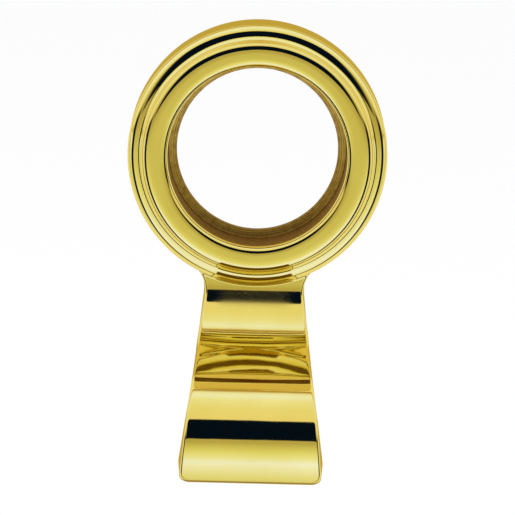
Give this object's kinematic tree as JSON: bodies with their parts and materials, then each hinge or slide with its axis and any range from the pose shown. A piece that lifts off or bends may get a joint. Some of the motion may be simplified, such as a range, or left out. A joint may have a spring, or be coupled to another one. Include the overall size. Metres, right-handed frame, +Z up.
{
  "type": "cylinder latch pull",
  "caption": "Door pull with a moulded ring that frames a rim lock cylinder, and a flared finger pull curving out below it.",
  "frame": {"origin": "on the door's face (y = 0), on the centre line, at the middle of the flat foot behind the neck, 24 mm below the centre of the cylinder bore", "axes": "+Z up the door, -Y out from the door towards the user, +X to the user's right"},
  "size_m": [0.0458, 0.0779, 0.0753],
  "materials": {
    "polished_brass": "mirror polished and lacquered",
    "turned_brass": "turned, unlacquered",
    "bright_steel": "bright zinc plated"
  },
  "bodies": {
    "root": {"pull_body": "polished_brass", "locating_spike_left": "bright_steel", "locating_spike_right": "bright_steel", "fixing_screw": "turned_brass", "screw_cup": "turned_brass"}
  },
  "joints": []
}
